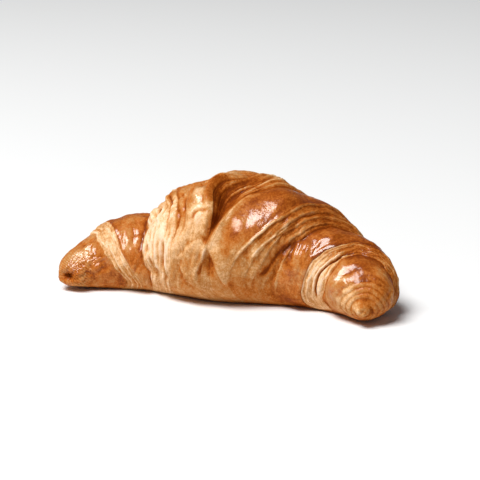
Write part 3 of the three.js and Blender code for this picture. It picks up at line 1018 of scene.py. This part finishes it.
class Nodes:
    """Adds nodes to a material, so that each line of a finish reads as one step."""

    def __init__(self, name):
        self.material = bpy.data.materials.new(name)
        self.material.use_nodes = True
        self.tree = self.material.node_tree
        self.tree.nodes.clear()

    def add(self, kind, inputs=None, **settings):
        """One node. inputs maps a socket's name or number to a value or to another socket."""
        node = self.tree.nodes.new(kind)
        for name, value in settings.items():
            setattr(node, name, value)
        for socket, value in (inputs or {}).items():
            if isinstance(value, bpy.types.NodeSocket):
                self.tree.links.new(value, node.inputs[socket])
            else:
                node.inputs[socket].default_value = value
        return node

    def math(self, operation, first, second=0.0, clamp=False):
        """A calculation with one or two numbers."""
        node = self.add("ShaderNodeMath", {0: first, 1: second}, operation=operation, use_clamp=clamp)
        return node.outputs[0]

    def plus(self, first, second):
        """A sum."""
        return self.math("ADD", first, second)

    def minus(self, first, second):
        """A difference."""
        return self.math("SUBTRACT", first, second)

    def times(self, first, second):
        """A product."""
        return self.math("MULTIPLY", first, second)

    def attribute(self, name):
        """A value that the mesh carries at each point."""
        return self.add("ShaderNodeAttribute", attribute_name=name).outputs["Fac"]

    def speckle(self, vector, speckle):
        """Noise from 0 to 1."""
        node = self.add("ShaderNodeTexNoise", {
            "Vector": vector,
            "Scale": speckle.scale,
            "Detail": speckle.detail,
            "Roughness": speckle.roughness,
        })
        return node.outputs["Fac"]

    def ramp(self, value, stops):
        """A colour for each value, blended between (position, colour) stops."""
        node = self.add("ShaderNodeValToRGB", {"Fac": value})
        elements = node.color_ramp.elements
        while len(elements) < len(stops):
            elements.new(0.5)
        for element, (position, colour) in zip(elements, stops):
            element.position = position
            element.color = colour
        return node.outputs["Color"]

    def range(self, value, low, high, to_low, to_high):
        """The value moved from one range to another, held at its ends."""
        node = self.add("ShaderNodeMapRange", {
            "Value": value,
            "From Min": low,
            "From Max": high,
            "To Min": to_low,
            "To Max": to_high,
        })
        return node.outputs["Result"]


class Speckle(NamedTuple):
    """Noise that bakes the crust unevenly, by up to toast more or less.

    scale is how many grains lie along a metre, or for the threads along a centimetre.
    """

    scale: float
    detail: float
    roughness: float
    toast: float


PATCHES = Speckle(70, 3, 0.6, 0.12)
MOTTLE = Speckle(230, 4, 0.65, 0.13)
FRECKLES = Speckle(700, 3, 0.65, 0.12)
GRIT = Speckle(1700, 2, 0.6, 0.11)
THREADS = Speckle(1.6, 3, 0.6, 0.13)
# The threads of the layers are drawn out round the roll
THREAD_STRETCH = (0.35, 7, 1)
# Where in the noise, which lies round 0.5, the bake is at its least and at its most
SPECKLE_RANGE = (0.25, 0.75)
THREAD_RANGE = (0.3, 0.7)
# How much of the threads shows on smooth skin
SKIN_THREADS = 0.2
# How much painted shade darkens a hollow and how much painted light pales a crest, at this depth in
# millimetres
CAVITY_DEPTH = 0.8
PAINTED_HOLLOW_SHADE = 0.28
PAINTED_CREST_LIGHT = 0.2
# How much paler the end of a layer and the top of a ring are
LIP_LOSS = 0.24
RING_LOSS = 0.15
# Where each colour lies between unbaked, 0, and fully baked, 1. The darkest also colour the painted shade
# in folds and cracks
COLOUR_LEVELS = {"cream": 0, "pale": 0.25, "gold": 0.45, "brown": 0.65, "dark": 0.83, "deep": 1}
# The gloss: from where in the patches it is full, and how rough the dull and the glossy crust are
SHINE_FROM = (0.2, 0.5)
SHINE_LEAST = 0.6
DULL_ROUGHNESS = 0.65
GLOSSY_ROUGHNESS = 0.35
COAT_SHARE = 0.85
# How high each noise stands under the light, against the others
MOTTLE_BUMP = 0.8
GRIT_BUMP = 0.3
THREAD_BUMP = 0.9
FRECKLE_BUMP = 0.6
RING_BUMP = 0.3
# How much of the grit and freckles stands out on the glaze
GLAZED_BUMP = 0.35
# How much of the freckles is added to the mottle in the ripples of the glaze
RIPPLE_FRECKLES = 0.08


class CrustValues:
    """The sockets that the colour, the gloss and the bumps of the crust are all worked out from."""

    def __init__(self, nodes):
        spot = nodes.add("ShaderNodeTexCoord").outputs["Object"]
        grain = nodes.add("ShaderNodeUVMap", uv_map="grain").outputs["UV"]
        stretched = nodes.add("ShaderNodeMapping", {"Vector": grain, "Scale": THREAD_STRETCH})
        self.toast = nodes.attribute("toast")
        self.glaze = nodes.attribute("glaze")
        self.layered = nodes.attribute("layered")
        self.cavity = nodes.attribute("cavity")
        self.lip = nodes.attribute("lip")
        self.patches = nodes.speckle(spot, PATCHES)
        self.mottle = nodes.speckle(spot, MOTTLE)
        self.freckles = nodes.speckle(spot, FRECKLES)
        self.grit = nodes.speckle(spot, GRIT)
        self.threads = nodes.speckle(stretched.outputs["Vector"], THREADS)
        wave = nodes.math("SINE", nodes.times(nodes.attribute("ring_phase"), math.pi))
        rings = nodes.math("POWER", nodes.math("ABSOLUTE", wave), RING_SHARPNESS)
        self.rings = nodes.times(rings, nodes.attribute("ringed"))


def crust_colour(nodes, values, colours):
    """The colour of each point, from its bake: toast and speckles, darker in hollows as painted shade,
    paler on crests as painted light, and paler on lips and rings.
    """
    level = values.toast
    speckles = (
        (values.patches, PATCHES),
        (values.mottle, MOTTLE),
        (values.freckles, FRECKLES),
        (values.grit, GRIT),
    )
    for noise_value, speckle in speckles:
        level = nodes.plus(level, nodes.range(noise_value, *SPECKLE_RANGE, -speckle.toast, speckle.toast))
    threads = nodes.range(values.threads, *THREAD_RANGE, -THREADS.toast, THREADS.toast)
    level = nodes.plus(level, nodes.times(threads, nodes.range(values.layered, 0, 1, SKIN_THREADS, 1)))
    # Painted shade in the hollows, and painted light on the crests of the layers
    level = nodes.plus(level, nodes.range(values.cavity, -CAVITY_DEPTH, 0, PAINTED_HOLLOW_SHADE, 0))
    crests = nodes.times(nodes.range(values.cavity, 0, CAVITY_DEPTH, 0, PAINTED_CREST_LIGHT), values.layered)
    level = nodes.minus(level, crests)
    level = nodes.minus(level, nodes.times(values.lip, LIP_LOSS))
    level = nodes.math("SUBTRACT", level, nodes.times(values.rings, RING_LOSS), clamp=True)
    return nodes.ramp(level, [(place, getattr(colours, name)) for name, place in COLOUR_LEVELS.items()])


def crust_bump(nodes, values):
    """The fine bumps of the crust: mottle where it is glazed, threads where it is layered, rings at
    the tips, and grit and freckles, which are fainter on the glaze.
    """
    dry = nodes.range(values.glaze, 0, 1, 1, GLAZED_BUMP)
    height = nodes.times(nodes.times(values.mottle, values.glaze), MOTTLE_BUMP)
    height = nodes.plus(height, nodes.times(nodes.times(values.grit, dry), GRIT_BUMP))
    height = nodes.plus(height, nodes.times(nodes.times(values.threads, values.layered), THREAD_BUMP))
    height = nodes.plus(height, nodes.times(nodes.times(values.freckles, dry), FRECKLE_BUMP))
    height = nodes.plus(height, nodes.times(values.rings, RING_BUMP))
    bump = nodes.add("ShaderNodeBump", {"Height": height, "Strength": 0.75, "Distance": 0.0008})
    return bump.outputs["Normal"]


def glaze_bump(nodes, values):
    """The ripples of the glaze, which break up its highlights."""
    ripples = nodes.plus(values.mottle, nodes.times(values.freckles, RIPPLE_FRECKLES))
    bump = nodes.add("ShaderNodeBump", {"Height": ripples, "Strength": 0.32, "Distance": 0.0006})
    return bump.outputs["Normal"]


def make_crust_material(colours):
    """Baked crust: one ramp from pale dough to dark brown, under an egg glaze where it is glossy."""
    nodes = Nodes("baked_crust")
    values = CrustValues(nodes)
    shine = nodes.times(values.glaze, nodes.range(values.patches, *SHINE_FROM, SHINE_LEAST, 1))
    shader = nodes.add("ShaderNodeBsdfPrincipled", {
        "Base Color": crust_colour(nodes, values, colours),
        "Roughness": nodes.range(shine, 0, 1, DULL_ROUGHNESS, GLOSSY_ROUGHNESS),
        "Coat Weight": nodes.times(shine, COAT_SHARE),
        "Coat Roughness": 0.13,
        "Coat IOR": 1.6,
        "Specular IOR Level": 0.08,
        "Subsurface Weight": 0.05,
        "Subsurface Radius": (0.003, 0.0012, 0.0005),
        "Subsurface Scale": 1.0,
        "Normal": crust_bump(nodes, values),
        "Coat Normal": glaze_bump(nodes, values),
    })
    nodes.add("ShaderNodeOutputMaterial", {"Surface": shader.outputs[0]})
    return nodes.material


# What a user can change

def linear(value):
    """A screen value from 0 to 255 as the linear light that Blender mixes, by the usual curve."""
    share = value / 255
    return ((share + 0.055) / 1.055) ** 2.4 if share > 0.04045 else share / 12.92


def srgb(red, green, blue):
    """A colour given as 0 to 255 screen values, as linear values with full alpha."""
    return (linear(red), linear(green), linear(blue), 1.0)


def colour_property(name, description, default):
    """A colour setting."""
    return bpy.props.FloatVectorProperty(
        name=name, description=description, default=default, size=4, min=0, max=1, subtype="COLOR",
    )


class CroissantForm(bpy.types.PropertyGroup):
    """Sizes of the crust."""

    roll_length: bpy.props.FloatProperty(
        name="Roll length", description="Length of the roll along its bent axis",
        default=0.1835, min=0.05, max=0.5, subtype="DISTANCE", unit="LENGTH",
    )
    relief_scale: bpy.props.FloatProperty(
        name="Relief", description="Height of the layers, wrinkles and blisters against the real ones",
        default=1.0, min=0, max=2, subtype="FACTOR",
    )


class CroissantColours(bpy.types.PropertyGroup):
    """Colours of the crust, from raw-looking layers to the darkest bake."""

    cream: colour_property("Cream", "Driest thin layers", srgb(252, 222, 190))
    pale: colour_property("Pale", "Layered edges of the dough", srgb(234, 186, 136))
    gold: colour_property("Gold", "Unglazed lower crust", srgb(198, 139, 80))
    brown: colour_property("Brown", "Egg-washed crust", srgb(186, 105, 36))
    dark: colour_property("Dark", "Well-browned crust", srgb(150, 71, 6))
    # Deep is the darkest bake, and with it the painted shade inside cracks and folds
    deep: colour_property("Deep", "Inside of cracks and folds", srgb(120, 51, 1))


class StudioSettings(bpy.types.PropertyGroup):
    """The floor, the lights and the camera."""

    floor_colour: colour_property("Floor", "Colour of the floor", srgb(246, 248, 251))
    floor_size: bpy.props.FloatProperty(
        name="Floor size", description="Width of the floor",
        default=6.0, min=1, subtype="DISTANCE", unit="LENGTH",
    )
    key_power: bpy.props.FloatProperty(
        name="Key light", description="Power of the large soft light at the upper left",
        default=76.5, min=0, subtype="POWER", unit="POWER",
    )
    sky_strength: bpy.props.FloatProperty(
        name="Fill", description="Strength of the even light from all sides", default=0.1, min=0,
    )
    azimuth: bpy.props.FloatProperty(
        name="Azimuth", description="How far the camera stands to the right of the front",
        default=math.radians(20.9), subtype="ANGLE", unit="ROTATION",
    )
    elevation: bpy.props.FloatProperty(
        name="Elevation", description="How far the camera looks down",
        default=math.radians(15.72), subtype="ANGLE", unit="ROTATION",
    )
    distance: bpy.props.FloatProperty(
        name="Distance", description="From the camera to the point that it looks at",
        default=0.9506, min=0.2, subtype="DISTANCE", unit="LENGTH",
    )
    focal_length: bpy.props.FloatProperty(
        name="Focal length", description="Of the camera's lens, in millimetres on a 36 mm sensor",
        default=152.0, min=20, subtype="DISTANCE_CAMERA", unit="CAMERA",
    )


# The operators, one for each piece

class CROISSANT_OT_crust(bpy.types.Operator):
    """Make the baked crust and let it stand for the model's node"""

    bl_idname = "croissant.crust"
    bl_label = "Make crust"

    def execute(self, context):
        scene = context.scene
        crust = make_crust_object(scene.croissant_form)
        crust.data.materials.append(make_crust_material(scene.croissant_colours))
        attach(crust, "root")
        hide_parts("croissant")
        return {"FINISHED"}


# Where the camera looks and where the key light stands, in metres
VIEW_TARGET = (0.0059, -0.0214, 0.0312)
KEY_PLACE = (-0.55, -0.95, 2.15)
KEY_SIZE = (1.4, 1.1)
KEY_COLOUR = (1, 0.985, 0.955)
SENSOR_WIDTH = 36


def make_floor(settings):
    """A plain floor that the croissant lies on."""
    half = settings.floor_size / 2
    mesh = bpy.data.meshes.new("floor")
    corners = [(-half, -half, 0), (half, -half, 0), (half, half, 0), (-half, half, 0)]
    mesh.from_pydata(corners, [], [(0, 1, 2, 3)])
    floor = bpy.data.objects.new("floor", mesh)
    nodes = Nodes("floor")
    shader = nodes.add("ShaderNodeBsdfPrincipled", {"Base Color": settings.floor_colour, "Roughness": 0.8})
    nodes.add("ShaderNodeOutputMaterial", {"Surface": shader.outputs[0]})
    mesh.materials.append(nodes.material)
    bpy.context.scene.collection.objects.link(floor)
    return floor


def aim(obj, target):
    """Turns a light or a camera to look at a point."""
    obj.rotation_euler = (Vector(target) - obj.location).to_track_quat("-Z", "Y").to_euler()


def make_lights(settings):
    """A large soft light at the upper left and even light from all round."""
    light = bpy.data.lights.new("key", "AREA")
    light.shape = "RECTANGLE"
    light.size, light.size_y = KEY_SIZE
    light.energy = settings.key_power
    light.color = KEY_COLOUR
    key = bpy.data.objects.new("key", light)
    key.location = KEY_PLACE
    aim(key, VIEW_TARGET)
    bpy.context.scene.collection.objects.link(key)
    world = bpy.data.worlds.new("studio")
    world.use_nodes = True
    background = world.node_tree.nodes["Background"]
    background.inputs["Color"].default_value = (1, 1, 1, 1)
    background.inputs["Strength"].default_value = settings.sky_strength
    bpy.context.scene.world = world


def make_camera(settings):
    """The camera, round the target by azimuth and elevation."""
    data = bpy.data.cameras.new("camera")
    data.sensor_width = SENSOR_WIDTH
    data.lens = settings.focal_length
    camera = bpy.data.objects.new("camera", data)
    flat = math.cos(settings.elevation)
    away = Vector((
        math.sin(settings.azimuth) * flat,
        -math.cos(settings.azimuth) * flat,
        math.sin(settings.elevation),
    ))
    camera.location = Vector(VIEW_TARGET) + away * settings.distance
    aim(camera, VIEW_TARGET)
    bpy.context.scene.collection.objects.link(camera)
    bpy.context.scene.camera = camera


class CROISSANT_OT_studio(bpy.types.Operator):
    """Make the floor, the lights and the camera"""

    bl_idname = "croissant.studio"
    bl_label = "Make studio"

    def execute(self, context):
        settings = context.scene.croissant_studio
        make_floor(settings)
        make_lights(settings)
        make_camera(settings)
        context.scene.view_settings.view_transform = "Standard"
        return {"FINISHED"}


class CROISSANT_PT_panel(bpy.types.Panel):
    """Lists the settings and the operators"""

    bl_label = "Croissant"
    bl_idname = "CROISSANT_PT_panel"
    bl_space_type = "VIEW_3D"
    bl_region_type = "UI"
    bl_category = "Croissant"

    def draw(self, context):
        layout = self.layout
        scene = context.scene
        for group in (scene.croissant_form, scene.croissant_colours, scene.croissant_studio):
            for name in group.__annotations__:
                layout.prop(group, name)
        layout.operator(CROISSANT_OT_crust.bl_idname)
        layout.operator(CROISSANT_OT_studio.bl_idname)


CLASSES = (
    CroissantForm,
    CroissantColours,
    StudioSettings,
    CROISSANT_OT_crust,
    CROISSANT_OT_studio,
    CROISSANT_PT_panel,
)


def register():
    """Adds the classes and hangs the settings on the scene."""
    for item in CLASSES:
        bpy.utils.register_class(item)
    bpy.types.Scene.croissant_form = bpy.props.PointerProperty(type=CroissantForm)
    bpy.types.Scene.croissant_colours = bpy.props.PointerProperty(type=CroissantColours)
    bpy.types.Scene.croissant_studio = bpy.props.PointerProperty(type=StudioSettings)


def unregister():
    """Takes the settings and the classes away again."""
    del bpy.types.Scene.croissant_studio
    del bpy.types.Scene.croissant_colours
    del bpy.types.Scene.croissant_form
    for item in reversed(CLASSES):
        bpy.utils.unregister_class(item)


def main():
    """Makes the croissant and its studio."""
    register()
    bpy.ops.croissant.studio()
    bpy.ops.croissant.crust()


if __name__ == "__main__":
    main()
